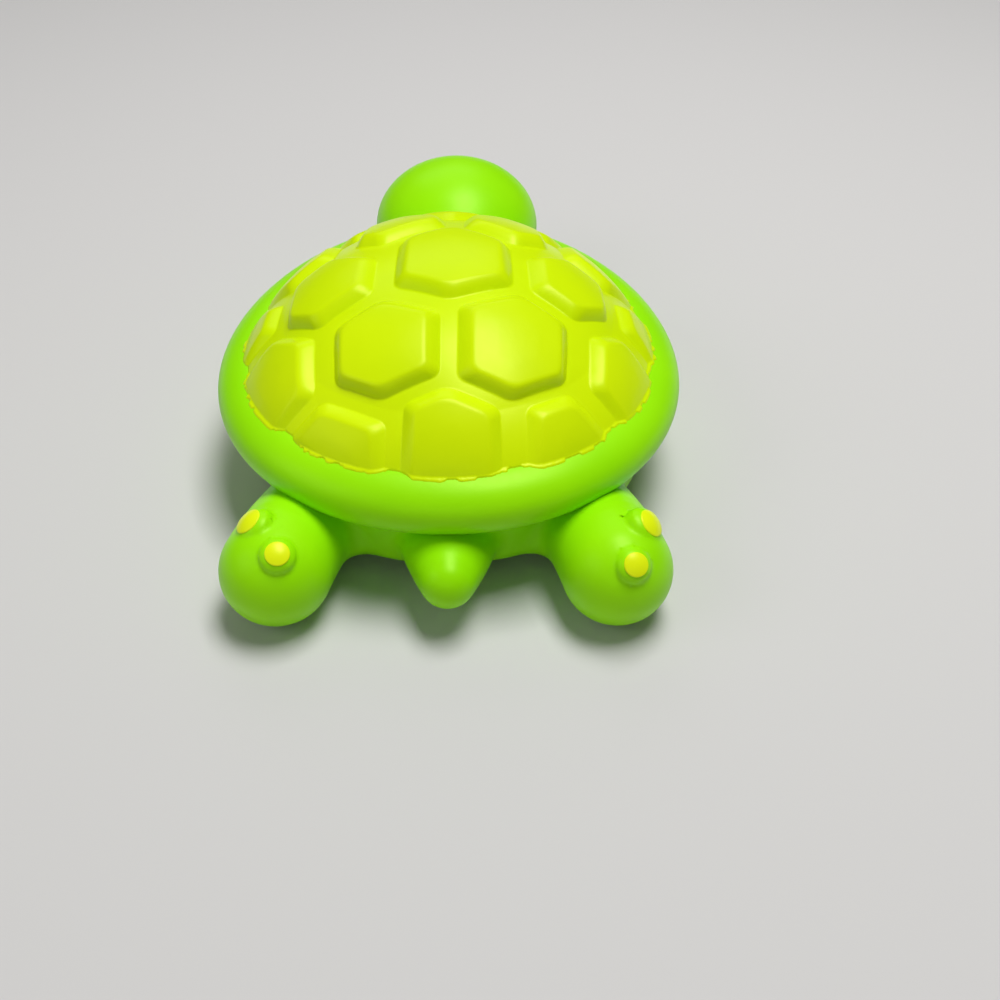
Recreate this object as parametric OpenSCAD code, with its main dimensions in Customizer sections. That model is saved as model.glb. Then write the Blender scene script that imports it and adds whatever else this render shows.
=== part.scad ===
// Squeaky bath toy: a soft vinyl turtle with a raised hexagon shell and a reed squeaker in its belly.
// Millimetres, +Z up. The origin is on the ground under the middle of the toy. The head points to -Y.
// The toy's left side is +X.

/* [Rim and belly] */
// Width across the rim
rim_w = 80; // [70:1:90]
// Length of the rim
rim_l = 91.5; // [82:0.5:100]
// Height of the rim's centre line over the ground
rim_z = 17.6; // [16:0.2:20]
// Half width of the rim's rounded roll
roll_w = 7.2; // [6:0.1:8]
// Half height of the rim's rounded roll
roll_h = 5.3; // [4.6:0.1:6]
// How much narrower than an ellipse the shell is at the head, and wider at the tail
egg_share = 0.08; // [0:0.01:0.12]
// Height of the flat belly over the ground
belly_z = 3; // [2.6:0.1:3.6]
// Radius of the belly's rounded edge
belly_round = 3.2; // [2.6:0.1:4]
// How far the belly's side stands out from the middle of the roll
belly_out = 2.3; // [1.5:0.1:3]
// Wall of the hollow green casting
wall = 2.2; // [1.8:0.1:2.6]

/* [Shell] */
// How far in from the rim's sides the yellow shell's edge lies
edge_in = 5; // [4:0.1:7]
// How far in from the rim's ends the yellow shell's edge lies, as the mean of both ends
edge_end = 7.25; // [6.75:0.05:9]
// How far the shell's middle lies behind the rim's middle
shell_back = 2.6; // [0:0.2:4]
// Height of the shell's edge over the rim's centre line
shell_edge = 5; // [4.6:0.1:5.4]
// Rise of the shell's crown over its edge
shell_rise = 17.1; // [14.5:0.1:20]
// How far round a dome the shell reaches, as a share of a half dome
wrap_share = 0.75; // [0.6:0.01:0.85]
// Distance between neighbouring plates at the crown
plate_pitch = 21.7; // [20.2:0.1:24]
// How far the middle plate lies behind the crown
plate_shift = 2.3; // [0.2:0.1:5]
// Width of the groove between two plates, near its floor
groove_w = 4.1; // [3:0.1:5]
// Width of a plate's sloped edge
bevel_w = 1.9; // [1.2:0.1:2.2]
// Height of a plate over the groove
plate_h = 1.75; // [1.2:0.05:2.2]
// How far the groove floor rises at the shell's edge
edge_flare = 1.1; // [0.4:0.1:1.2]
// How far the points of the plates on the centre line are blunted
blunt = 1.4; // [0:0.1:2.4]
// Thickness of the yellow skin under the grooves
skin_t = 1.2; // [0.8:0.1:1.6]
// Gap between the yellow skin and the green casting
skin_gap = 0.3; // [0.2:0.05:0.5]

/* [Head] */
// Half width of the head
head_w = 17.1; // [15:0.1:19]
// Half length of the head
head_l = 17.6; // [16:0.1:20]
// Half height of the head
head_h = 13.4; // [12:0.1:15]
// How far ahead of the rim's front the head's middle lies
head_out = 4.75; // [3.5:0.05:7]
// How far the head lies to the toy's right
head_offset = 0.7; // [0:0.1:1.4]
// Height of the head's middle
head_z = 17; // [15:0.2:19]
// Half width of the muzzle
muzzle_w = 12.4; // [10:0.2:14]
// Half height of the muzzle
muzzle_h = 8.2; // [7:0.2:9]
// Radius of the neck
neck_r = 10.5; // [9:0.1:12]
// Radius of an eye
eye_r = 4.2; // [3.4:0.1:5]
// Radius of a pupil
pupil_r = 2.2; // [1.6:0.1:2.6]

/* [Flippers and tail] */
// Radius of a hind flipper's round end
hind_r = 8.7; // [8:0.1:9.6]
// How far in from the rim's side a hind flipper's end lies
hind_in = 13.8; // [12:0.1:16]
// How far behind the rim's rear end a hind flipper's end lies
hind_back = 0.1; // [-2:0.1:2]
// Radius of a front flipper's round end
front_r = 7.8; // [7:0.1:8.6]
// How far in from the rim's side a front flipper's end lies
front_in = 15; // [13:0.1:17]
// How far behind the rim's front end a front flipper's end lies
front_back = 10.75; // [9.75:0.05:12.75]
// Depth of the flat cut under each flipper
pad_cut = 0.5; // [0.3:0.05:0.8]
// Radius of the tail at the body
tail_root_r = 9; // [8:0.1:9.8]
// Radius of the tail's round tip
tail_tip_r = 4.4; // [3.8:0.1:4.8]
// How far behind the rim's rear end the middle of the tail's tip lies
tail_out = 2.75; // [1.25:0.05:4.25]
// Radius of a spot
spot_r = 2; // [1.5:0.1:2.2]
// Radius of the green boss round a spot, at its top
boss_r = 2.8; // [2.5:0.1:3.2]
// Height of a boss over the flipper
boss_h = 0.9; // [0.6:0.1:1.3]

/* [Squeaker] */
// Radius of the hole in the belly
hole_r = 8; // [7.6:0.1:8.6]
// Radius of the flange under the belly
flange_r = 9.8; // [9.4:0.1:10.6]
// Thickness of that flange
flange_t = 1.2; // [1:0.1:1.4]
// Radius of the barb over the belly wall
barb_r = 9; // [8.8:0.1:9.2]
// Height of the barb
barb_h = 2; // [1.6:0.1:2.4]
// Height of the barrel over the barb
barrel_h = 7.6; // [7.2:0.1:8.4]
// Wall of the barrel
barrel_t = 1; // [0.8:0.1:1.2]
// Thickness of the slotted cap
cap_t = 1.2; // [1:0.1:1.6]
// Radius of the reed block
block_r = 3.2; // [3:0.1:3.5]
// Width of the channel that the reed lies over
channel_w = 2; // [1.6:0.1:2.2]
// Depth of that channel
channel_d = 1.6; // [1.2:0.1:1.9]
// Width of the reed
reed_w = 3; // [2.6:0.1:3.2]
// Thickness of the reed
reed_t = 0.15; // [0.1:0.01:0.2]
// Length of the reed's free tongue
reed_l = 4.6; // [4:0.1:4.8]

/* [Hidden] */

vinyl_green = [0.43, 0.80, 0.05];
vinyl_yellow = [0.80, 0.92, 0.02];
eye_colour = [0.95, 0.95, 0.92];
pupil_colour = [0.06, 0.06, 0.06];
plug_colour = [0.92, 0.92, 0.88];
reed_colour = [0.80, 0.62, 0.25];

// Steps round and along the soft forms: fine outside, coarser inside the cavity
trunk_n = 44;
cavity_n = 20;
cavity_head_n = 12;
limb_n = 16;
cavity_limb_n = 8;
ball_n = 20;
boss_n = 14;
spot_n = 14;
eye_n = 24;
round_n = 36;

// One overrun for every cut
overrun = 1;
// Running gap of hard plastic parts that are pushed together
fit_gap = 0.05;
// Gap between the belly hole and the squeaker's neck
grip_gap = 0.1;

// The middle of the roll, as an ellipse
core_w = rim_w / 2 - roll_w;
core_l = rim_l / 2 - roll_w;
// Everything that stands on the rim follows its size
shell_w = rim_w - 2 * edge_in;
shell_l = rim_l - 2 * edge_end;
head_y = rim_l / 2 + head_out;
hind_x = rim_w / 2 - hind_in;
hind_y = rim_l / 2 + hind_back;
front_x = rim_w / 2 - front_in;
front_y = rim_l / 2 - front_back;
tail_y = rim_l / 2 + tail_out;
// The dome that the plates' tops lie on, as an ellipsoid
wrap = 90 * wrap_share;
dome_w = shell_w / 2 / sin(wrap);
dome_l = shell_l / 2 / sin(wrap);
dome_h = shell_rise / (1 - cos(wrap));
edge_z = rim_z + shell_edge;
dome_z = edge_z - dome_h * cos(wrap);
crown_z = edge_z + shell_rise;
under_skin = plate_h + skin_t + skin_gap;
casting_top = crown_z - under_skin;
// The muzzle sits low on the front of the head
muzzle_l = head_l / 2;
muzzle_y = head_y + head_l / 2 + head_l / 16;
muzzle_z = head_z - head_h / 4;
// The origin is under the middle of the whole length
front_reach = max(head_y + head_l, muzzle_y + muzzle_l);
rear_reach = max(hind_y + hind_r, tail_y + tail_tip_r);
mid_y = (front_reach - rear_reach) / 2;

function unit(v) = v / norm(v);

// Lofts through rings of equal counts, with a point over each end
module loft(rings, first, last) {
    n = len(rings[0]);
    m = len(rings);
    points = concat([for (r = rings) each r], [first, last]);
    sides = [for (j = [0:m - 2], i = [0:n - 1])
        let (k = (i + 1) % n, a = j * n + i, b = j * n + k, c = (j + 1) * n + k, d = (j + 1) * n + i)
        each [[a, d, c], [a, c, b]]];
    bottom = [for (i = [0:n - 1]) [m * n, i, (i + 1) % n]];
    top = [for (i = [0:n - 1]) [m * n + 1, (m - 1) * n + (i + 1) % n, (m - 1) * n + i]];
    polyhedron(points = points, faces = concat(sides, bottom, top));
}

function centre(ring) = [for (s = ring) 1] * ring / len(ring);

// A level ring of the egg-shaped plan, out from the middle of the roll by s
function plan_ring(s, z, n) = [for (i = [0:n - 1])
    let (a = 360 * i / n)
    [(core_w + s) * cos(a) * (1 + egg_share * sin(a)), (core_l + s) * sin(a), z]];

// The belly and the rim's roll, drawn in by inset all over. The coarse cavity takes every second ring.
edge_angles = [-90, -65, -40, -15];
roll_angles = [-72, -48, -24, 0, 24, 46, 68, 90, 112, 134];
function thinned(v, n) = n < trunk_n ? [for (i = [0:2:len(v) - 1]) v[i]] : v;
module trunk(inset, n) {
    belly = [for (a = thinned(edge_angles, n))
        plan_ring(belly_out - belly_round + (belly_round - inset) * cos(a),
            belly_z + belly_round + (belly_round - inset) * sin(a), n)];
    roll = [for (a = thinned(roll_angles, n))
        plan_ring((roll_w - inset) * cos(a), rim_z + (roll_h - inset) * sin(a), n)];
    rings = concat(belly, roll);
    loft(rings, centre(belly[0]), centre(roll[len(roll) - 1]));
}

// A point of the shell: t is 0 at the crown and 1 at the edge, a is the angle round, and deep is the depth
// below the plates' tops
function shell_point(t, a, deep) =
    let (x = (dome_w - deep) * sin(t * wrap) * cos(a), y = (dome_l - deep) * sin(t * wrap) * sin(a))
    [x * (1 + egg_share * 2 * y / shell_l), y + shell_back, dome_z + (dome_h - deep) * cos(t * wrap)];

// The dome at a given depth, flared out at the edge and closed below at dome_foot
dome_foot = 1.12;
dome_steps = [dome_foot, 1, 0.88, 0.74, 0.58, 0.42, 0.26, 0.11];
flare_from = 0.74;
function flare(t) = edge_flare * max(0, min(1, (t - flare_from) / (1 - flare_from)));
module dome(deep, n) {
    rings = [for (t = dome_steps) [for (i = [0:n - 1]) shell_point(t, 360 * i / n, deep - flare(t))]];
    loft(rings, centre(rings[0]), shell_point(0, 0, deep));
}

// An egg-shaped ball with its long axis along Y
module ball(middle, w, l, h, n) {
    rings = [for (b = [-75:25:75])
        [for (i = [0:n - 1])
            let (a = 360 * i / n)
            middle + [w * cos(b) * cos(a), l * sin(b), -h * cos(b) * sin(a)]]];
    loft(rings, middle - [0, l, 0], middle + [0, l, 0]);
}

// A limb along a curve of three points, from radius r0 to r1, with a round end that carries on the taper. Its
// root is squashed to a share of its height, and inset draws it in all over.
function on_curve(p, t) = (1 - t) * (1 - t) * p[0] + 2 * t * (1 - t) * p[1] + t * t * p[2];
function curve_way(p, t) = unit((1 - t) * (p[1] - p[0]) + t * (p[2] - p[1]));
function section(c, way, r, h, n) =
    let (s = unit(cross(way, [0, 0, 1])), w = cross(way, s))
    [for (i = [0:n - 1]) c + r * cos(360 * i / n) * s + h * sin(360 * i / n) * w];
// Rises smoothly from 0 to 1
function eased(t) = t * t * (3 - 2 * t);
module limb(p, r0, r1, squash_share, inset, n) {
    end_way = curve_way(p, 1);
    lean = atan(2 * (r0 - r1) / norm(p[2] - p[0]));
    shaft_steps = floor(n / 3);
    cap_steps = floor(n / 4) + 1;
    shaft = [for (i = [0:shaft_steps])
        let (t = i / shaft_steps, r = r0 + (r1 * cos(lean) - r0) * t * t)
        section(on_curve(p, t) + t * r1 * sin(lean) * end_way, curve_way(p, t), r,
            (r + inset) * (squash_share + (1 - squash_share) * eased(t)) - inset, n)];
    cap = [for (i = [1:cap_steps - 1])
        let (b = lean + (90 - lean) * i / cap_steps)
        section(p[2] + r1 * sin(b) * end_way, end_way, r1 * cos(b), r1 * cos(b), n)];
    loft(concat(shaft, cap), p[0], p[2] + r1 * end_way);
}

// The middles of the flippers' round ends, and the curves that lead to them, for the left side
hind_end = [hind_x, hind_y, hind_r - pad_cut];
front_end = [front_x, -front_y, front_r - pad_cut];
flipper_squash_share = 0.68;
root_shares = [0.62, 0.48];
bend_shares = [0.9, 0.72];
module flipper(end, r, inset, n) {
    root_z = end[2] - r / 16;
    root = [end[0] * root_shares[0], end[1] * root_shares[1], root_z];
    bend = [end[0] * bend_shares[0], end[1] * bend_shares[1], root_z];
    limb([root, bend, end], r - inset, r - inset, flipper_squash_share, inset, n);
}
tail_squash_share = 0.56;
tail_z = belly_z + tail_root_r * 3 / 5;
module tail(inset, n) {
    limb([[0, core_l - tail_tip_r, tail_z], [0, core_l + tail_tip_r / 2, tail_z],
            [0, tail_y, tail_z + tail_tip_r / 7]],
        tail_root_r - inset, tail_tip_r - min(inset, tail_tip_r / 2), tail_squash_share, inset, n);
}
head_middle = [-head_offset, -head_y, head_z];
neck_z = rim_z + roll_h - neck_r;
neck_root_share = 0.4;
module head(inset, n, neck_n) {
    ball(head_middle, head_w - inset, head_l - inset, head_h - inset, n);
    ball([-head_offset, -muzzle_y, muzzle_z], muzzle_w - inset, muzzle_l - inset, muzzle_h - inset, n);
    limb([[0, -core_l * neck_root_share, neck_z - roll_h / 4], [0, -core_l, neck_z - roll_h / 4], head_middle],
        neck_r - inset, neck_r - inset, 1, inset, neck_n);
}

module both_sides() {
    children();
    mirror([1, 0, 0]) children();
}

// The whole green form, drawn in by inset
module form(inset, n, head_n, thin_n) {
    trunk(inset, n);
    dome(under_skin + inset, n);
    head(inset, head_n, thin_n);
    tail(inset, thin_n);
    both_sides() {
        flipper(hind_end, hind_r, inset, thin_n);
        flipper(front_end, front_r, inset, thin_n);
    }
}

// Spots: the flipper's end, then the way to the spot as [angle out from the side towards the tail, tilt off
// upright], then the radius of that end. Right ones are mirrored.
hind_left_outer = [hind_end, [-32, 23], hind_r];
hind_left_inner = [hind_end, [109, 29.5], hind_r];
hind_right_outer = [hind_end, [-18.5, 30.5], hind_r];
hind_right_inner = [hind_end, [77.5, 42], hind_r];
front_outer = [front_end, [26, 26], front_r];
front_inner = [front_end, [-107, 31], front_r];
left_spots = [hind_left_outer, hind_left_inner, front_outer, front_inner];
right_spots = [hind_right_outer, hind_right_inner, front_outer, front_inner];
socket_d = boss_h / 2;

// Places children on top of a spot's boss, with Z pointing away from the flipper
module at_spot(spot) {
    translate(spot[0]) rotate([0, spot[1][1], spot[1][0]]) translate([0, 0, spot[2] + boss_h])
        children();
}
module boss(spot) {
    at_spot(spot) translate([0, 0, -3 * boss_h])
        cylinder(h = 3 * boss_h, r1 = boss_r + 3 / 2 * boss_h, r2 = boss_r, $fn = boss_n);
}
module socket(spot) {
    at_spot(spot) translate([0, 0, -socket_d])
        cylinder(h = socket_d + overrun, r = spot_r + 2 * fit_gap, $fn = boss_n);
}

// A round cap: a short plug with a domed face, its plug going down from Z = 0
module domed_plug(r, deep, dome_rise, n) {
    big_r = (r * r + dome_rise * dome_rise) / (2 * dome_rise);
    rotate_extrude($fn = n) {
        translate([0, -deep]) square([r, deep]);
        intersection() {
            translate([0, dome_rise - big_r]) circle(r = big_r, $fn = 2 * n);
            square([r, dome_rise]);
        }
    }
}
module spot_piece(spot) {
    at_spot(spot) domed_plug(spot_r, socket_d, spot_r / 2.4, spot_n);
}

// The eye looks out, forward and up from the head's skin
eye_turn = 34;
eye_lift = 9;
eye_way = [sin(eye_turn) * cos(eye_lift), -cos(eye_turn) * cos(eye_lift), sin(eye_lift)];
eye_scale = 1 / norm([eye_way[0] / head_w, eye_way[1] / head_l, eye_way[2] / head_h]);
eye_spot = eye_scale * eye_way;
eye_normal = unit([eye_spot[0] / (head_w * head_w), eye_spot[1] / (head_l * head_l),
    eye_spot[2] / (head_h * head_h)]);
eye_seat = wall / 2;
eye_rise = eye_r / 3;
pupil_seat = eye_rise / 2;
pupil_rise = pupil_r / 5;
// side is 1 for the left eye and -1 for the right one
module at_eye(side) {
    translate(head_middle) mirror([side > 0 ? 0 : 1, 0, 0]) translate(eye_spot)
        rotate([0, acos(eye_normal[2]), atan2(eye_normal[1], eye_normal[0])])
            children();
}
module eye_white() {
    difference() {
        domed_plug(eye_r, eye_seat, eye_rise, eye_n);
        translate([0, 0, eye_rise - pupil_seat])
            cylinder(h = pupil_seat + overrun, r = pupil_r + fit_gap, $fn = eye_n);
    }
}
module pupil() {
    translate([0, 0, eye_rise - pupil_seat / 3])
        domed_plug(pupil_r, pupil_seat * 2 / 3, pupil_rise + pupil_seat / 3, spot_n);
}

// Moves a piece from the rim's middle to the row's frame
module placed() {
    translate([0, mid_y, 0]) children();
}

module body_casting() {
    color(vinyl_green) placed() difference() {
        resize([0, 0, casting_top]) difference() {
            union() {
                form(0, trunk_n, ball_n, limb_n);
                for (s = left_spots) boss(s);
                mirror([1, 0, 0]) for (s = right_spots) boss(s);
            }
            form(wall, cavity_n, cavity_head_n, cavity_limb_n);
            for (s = left_spots) socket(s);
            mirror([1, 0, 0]) for (s = right_spots) socket(s);
            for (side = [1, -1]) at_eye(side) translate([0, 0, -eye_seat])
                cylinder(h = eye_seat + overrun, r = eye_r + 2 * fit_gap, $fn = ball_n);
            translate([-rim_w, -rim_l, -hind_r]) cube([2 * rim_w, 2 * rim_l, hind_r]);
            translate([0, 0, belly_z - overrun])
                cylinder(h = wall + 2 * overrun, r = hole_r - wall, $fn = ball_n);
        }
        translate([0, 0, belly_z - overrun]) cylinder(h = wall + 2 * overrun, r = hole_r, $fn = round_n);
    }
}

// Plate outlines: a grid of six-sided cells, whose points on the centre line are blunted. The grid is drawn
// in the shell's plan, and flat() takes a length along the crown to it.
function flat(d) = d * sin(wrap) / (wrap * PI / 180);
pitch = flat(plate_pitch);
shift = flat(plate_shift);
groove = flat(groove_w);
bevel = flat(bevel_w);
cell_r = pitch / sqrt(3);
row_step = cell_r * 3 / 2;
rows = [-3:3];
function cell_middle(row, col) = [(col + (abs(row) % 2) / 2) * pitch, shift + row * row_step];
function corner_pull(p) =
    abs(p[0]) > pitch / 8 || p[1] < shift || p[1] > shift + 2.5 * row_step ? 0
    : p[1] < shift + row_step ? -flat(blunt) : flat(blunt);
function cell_corner(c, i) =
    let (p = c + cell_r * [cos(30 + 60 * i), sin(30 + 60 * i)])
    p + [0, corner_pull(p)];
edge_steps = 2;
// Corners near the shell's edge are carried past it, so that the edge cuts the plates off
function carried(p) = reach(p) > border_share ? p * dome_foot / reach(p) : p;
border_share = 0.93;
// The cell's outline drawn in towards its middle by d, with edge_steps points to a side
function outline(c, d) =
    let (k = 1 - d / (pitch / 2))
    [for (i = [0:5], j = [0:edge_steps - 1])
        let (a = carried(cell_corner(c, i)), b = carried(cell_corner(c, i + 1)))
        let (p = a + (b - a) * j / edge_steps)
        c + (p - c) * k];
function reach(p) = norm([2 * p[0] / shell_w, 2 * p[1] / shell_l]);
function lift(p, deep) = shell_point(min(reach(p), dome_foot), atan2(p[1] / shell_l, p[0] / shell_w), deep);
plate_reach = 1.28;
module plate(c) {
    foot = groove / 2 - bevel * skin_t / 2 / plate_h;
    levels = [[foot, plate_h + skin_t / 2], [(groove + bevel) / 2, plate_h / 8], [groove / 2 + bevel, 0],
        [pitch * 3 / 8, 0]];
    rings = [for (v = levels) [for (p = outline(c, v[0])) lift(p, v[1])]];
    hull() loft(rings, lift(c, plate_h + skin_t / 2), lift(c, 0));
}

module shell_skin() {
    color(vinyl_yellow) placed() difference() {
        union() {
            dome(plate_h, trunk_n);
            for (row = rows, col = [-3:3]) {
                c = cell_middle(row, col);
                if (reach(c) < plate_reach) plate(c);
            }
        }
        dome(plate_h + skin_t, trunk_n);
        trunk(-skin_gap, trunk_n);
        head(-skin_gap, ball_n, limb_n);
    }
}

module left_spot(spot) {
    color(vinyl_yellow) placed() spot_piece(spot);
}
module right_spot(spot) {
    color(vinyl_yellow) placed() mirror([1, 0, 0]) spot_piece(spot);
}
module hind_spot_left_outer() {
    left_spot(hind_left_outer);
}
module hind_spot_left_inner() {
    left_spot(hind_left_inner);
}
module hind_spot_right_outer() {
    right_spot(hind_right_outer);
}
module hind_spot_right_inner() {
    right_spot(hind_right_inner);
}
module front_spot_left_outer() {
    left_spot(front_outer);
}
module front_spot_left_inner() {
    left_spot(front_inner);
}
module front_spot_right_outer() {
    right_spot(front_outer);
}
module front_spot_right_inner() {
    right_spot(front_inner);
}

module eye_white_left() {
    color(eye_colour) placed() at_eye(1) eye_white();
}
module eye_white_right() {
    color(eye_colour) placed() at_eye(-1) eye_white();
}
module pupil_left() {
    color(pupil_colour) placed() at_eye(1) pupil();
}
module pupil_right() {
    color(pupil_colour) placed() at_eye(-1) pupil();
}

// Heights of the squeaker: its flange lies under the belly and its barb over the belly wall
wall_top = belly_z + wall;
flange_z = belly_z - flange_t;
neck_r_squeaker = hole_r - grip_gap;
barrel_top = wall_top + barb_h + barrel_h;
bore_r = neck_r_squeaker - 2 * barrel_t;
barrel_r = neck_r_squeaker - barrel_t;
floor_top = belly_z + flange_t;
collar_top = wall_top + barb_h / 2;
module squeaker_housing() {
    color(plug_colour) placed() difference() {
        rotate_extrude($fn = round_n) polygon([[0, flange_z], [flange_r - flange_t / 2, flange_z],
            [flange_r, belly_z - flange_t / 2], [flange_r, belly_z], [neck_r_squeaker, belly_z],
            [neck_r_squeaker, wall_top], [barb_r, wall_top], [barb_r, wall_top + barb_h / 4],
            [barrel_r, wall_top + barb_h], [barrel_r, barrel_top], [0, barrel_top]]);
        difference() {
            translate([0, 0, floor_top])
                cylinder(h = barrel_top - floor_top + overrun, r = bore_r, $fn = round_n);
            cylinder(h = collar_top, r = block_r + barrel_t, $fn = round_n);
        }
        translate([0, 0, flange_z - overrun]) cylinder(h = collar_top, r = block_r + fit_gap, $fn = round_n);
    }
}

// The cap closes the barrel and lets air in through a ring of slots
slots = 6;
slot_w = cap_t;
module squeaker_cap() {
    color(plug_colour) placed() translate([0, 0, barrel_top]) difference() {
        union() {
            cylinder(h = cap_t, r = barrel_r, $fn = round_n);
            translate([0, 0, -cap_t]) cylinder(h = cap_t, r = bore_r - fit_gap, $fn = round_n);
        }
        for (i = [0:slots - 1])
            rotate([0, 0, 360 * i / slots]) translate([bore_r / 4, -slot_w / 2, -cap_t - overrun])
                cube([bore_r / 2, slot_w, 2 * cap_t + 2 * overrun]);
    }
}

// The reed block stands in the collar. Above the collar it is a half round, and the reed lies over its flat
// face.
block_z = flange_z + flange_t / 2;
block_top = barrel_top - cap_t - fit_gap;
clamp_h = 1.6;
clamp_z = block_top - clamp_h;
root_z = block_top - clamp_h / 4;
channel_z = clamp_z - reed_l;
module half_round(z, h, side) {
    intersection() {
        translate([0, 0, z]) cylinder(h = h, r = block_r, $fn = round_n);
        translate([-block_r - overrun, side > 0 ? 0 : -block_r - overrun, z])
            cube([2 * block_r + 2 * overrun, block_r + overrun, h]);
    }
}
module reed_block() {
    color(plug_colour) placed() difference() {
        union() {
            translate([0, 0, block_z]) cylinder(h = collar_top - block_z, r = block_r, $fn = round_n);
            half_round(collar_top, block_top - collar_top, -1);
        }
        translate([-channel_w / 2, -channel_d, block_z - overrun])
            cube([channel_w, channel_d + overrun, collar_top - block_z + overrun]);
        translate([-channel_w / 2, -channel_d, collar_top - overrun])
            cube([channel_w, channel_d + overrun, clamp_z - collar_top]);
    }
}

// The clamp grips the reed's root in a slot that leaves it room to swing
reed_rest = 4;
reed_off = 0.1;
slot_d = reed_t + reed_off + clamp_h * tan(3 * reed_rest / 2) + fit_gap;
module reed_clamp() {
    color(plug_colour) placed() difference() {
        half_round(clamp_z, clamp_h, 1);
        translate([-reed_w / 2 - fit_gap, -overrun, clamp_z - overrun])
            cube([reed_w + 2 * fit_gap, slot_d + overrun, clamp_h + 2 * overrun]);
    }
}

// The reed hangs from its root, its tip lifted off the channel
module reed() {
    color(reed_colour) placed() translate([0, reed_off, root_z]) rotate([reed_rest, 0, 0])
        translate([-reed_w / 2, 0, -root_z + channel_z]) cube([reed_w, reed_t, root_z - channel_z]);
}

body_casting();
shell_skin();
hind_spot_left_outer();
hind_spot_left_inner();
hind_spot_right_outer();
hind_spot_right_inner();
front_spot_left_outer();
front_spot_left_inner();
front_spot_right_outer();
front_spot_right_inner();
eye_white_left();
eye_white_right();
pupil_left();
pupil_right();
squeaker_housing();
squeaker_cap();
reed_block();
reed();
reed_clamp();
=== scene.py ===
import bpy
import math
import numpy as np
from mathutils import Matrix, Vector


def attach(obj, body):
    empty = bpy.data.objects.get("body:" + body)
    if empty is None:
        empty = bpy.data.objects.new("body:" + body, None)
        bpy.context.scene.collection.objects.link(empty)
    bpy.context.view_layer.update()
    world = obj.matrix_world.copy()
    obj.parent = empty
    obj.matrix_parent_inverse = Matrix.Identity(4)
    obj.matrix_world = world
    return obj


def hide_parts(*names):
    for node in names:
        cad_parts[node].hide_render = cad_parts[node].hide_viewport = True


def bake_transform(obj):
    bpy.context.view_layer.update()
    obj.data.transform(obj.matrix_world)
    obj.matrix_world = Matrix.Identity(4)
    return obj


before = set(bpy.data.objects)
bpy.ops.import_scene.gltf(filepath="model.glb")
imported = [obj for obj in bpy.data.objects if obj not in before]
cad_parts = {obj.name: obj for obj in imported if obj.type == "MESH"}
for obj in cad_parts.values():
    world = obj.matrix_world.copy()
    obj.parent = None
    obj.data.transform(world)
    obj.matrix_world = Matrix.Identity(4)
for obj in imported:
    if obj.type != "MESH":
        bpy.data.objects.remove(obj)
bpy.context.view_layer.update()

scene = bpy.context.scene

# Sizes in millimetres, most of them as in the CAD model
# The forms are made about the rim's middle, with the toy's left at +X and its tail at +Y. MID is how far that
# middle lies from the frame's origin, towards the tail.
MM = 0.001
MID = 7.325
RIM_W, RIM_L, RIM_Z, ROLL_W, ROLL_H, EGG = 80.0, 91.5, 17.6, 7.2, 5.3, 0.08
CORE_W, CORE_L = RIM_W / 2 - ROLL_W, RIM_L / 2 - ROLL_W
BELLY_Z, BELLY_ROUND, BELLY_OUT, BELLY_TOP = 3.0, 3.2, 2.3, 3.6
HOLE_R, HOLE_DEEP, WALL = 8.0, 2.0, 2.2

# The shell's dome and its plates
SHELL_W, SHELL_L, SHELL_BACK, SHELL_EDGE, SHELL_RISE = 70.0, 77.0, 2.6, 5.0, 17.1
WRAP = math.radians(90 * 0.75)
DOME_W, DOME_L = SHELL_W / 2 / math.sin(WRAP), SHELL_L / 2 / math.sin(WRAP)
DOME_H = SHELL_RISE / (1 - math.cos(WRAP))
DOME_Z = RIM_Z + SHELL_EDGE - DOME_H * math.cos(WRAP)
PLATE_H, SKIN_T, SKIN_GAP, FLARE = 1.75, 1.2, 0.3, 1.1
FLAT = math.sin(WRAP) / WRAP
PITCH, SHIFT, GROOVE, BEVEL, BLUNT = 21.7 * FLAT, 2.3 * FLAT, 4.1 * FLAT, 1.85 * FLAT, 1.4 * FLAT
CORNER_ROUND, PLATE_CROWN, PLATE_DIP = 1.1, 0.16, 0.16

# The bevel's curve: where it starts and how far it runs, in bevel widths, how far it would rise if it weren't
# cut off at the plate's top, how quickly it bends over and how soft that cut is
BEVEL_START, BEVEL_RUN, BEVEL_OVER, BEVEL_BEND, BEVEL_SOFT = 0.12, 1.55, 1.06, 1.6, 0.10

# Shares of the way out from the crown: where the grooves start to get shallower, how far out a plate's corner
# may lie, where a corner further out is moved to, and how far out a plate's middle may lie
FLARE_START, CORNER_REACH, PAST_EDGE, PLATE_REACH = 0.74, 0.93, 1.12, 1.28

# How far into a plate its top goes on rising, as a share of the pitch
CROWN_RUN = 0.28

# The head, the flippers and the tail
HEAD, HEAD_SIZE = (-0.7, -50.5, 17.0), (17.1, 17.6, 13.4)
MUZZLE, MUZZLE_SIZE = (-0.7, -60.4, 13.65), (12.4, 8.8, 8.2)
NECK_R = 10.5
HIND_R, HIND = 8.65, {1: (26.35, 45.2), -1: (26.0, 45.65)}
FRONT_R, FRONT = 7.8, (25.0, -35.0)
NECK_START, NECK_SINK = 0.4, ROLL_H / 4
PAD, SOLE_FILLET = 0.5, 0.5
ROOT_SHARES, BEND_SHARES, ROOT_DROP, FLIPPER_SQUASH = (0.62, 0.48), (0.9, 0.72), 1 / 16, 0.68
TAIL_ROOT, TAIL_TIP, TAIL_Y, TAIL_SQUASH, TAIL_TAPER = 9.0, 4.4, 48.5, 0.56, 1.35
TAIL_Z = BELLY_Z + TAIL_ROOT * 0.6

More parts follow.
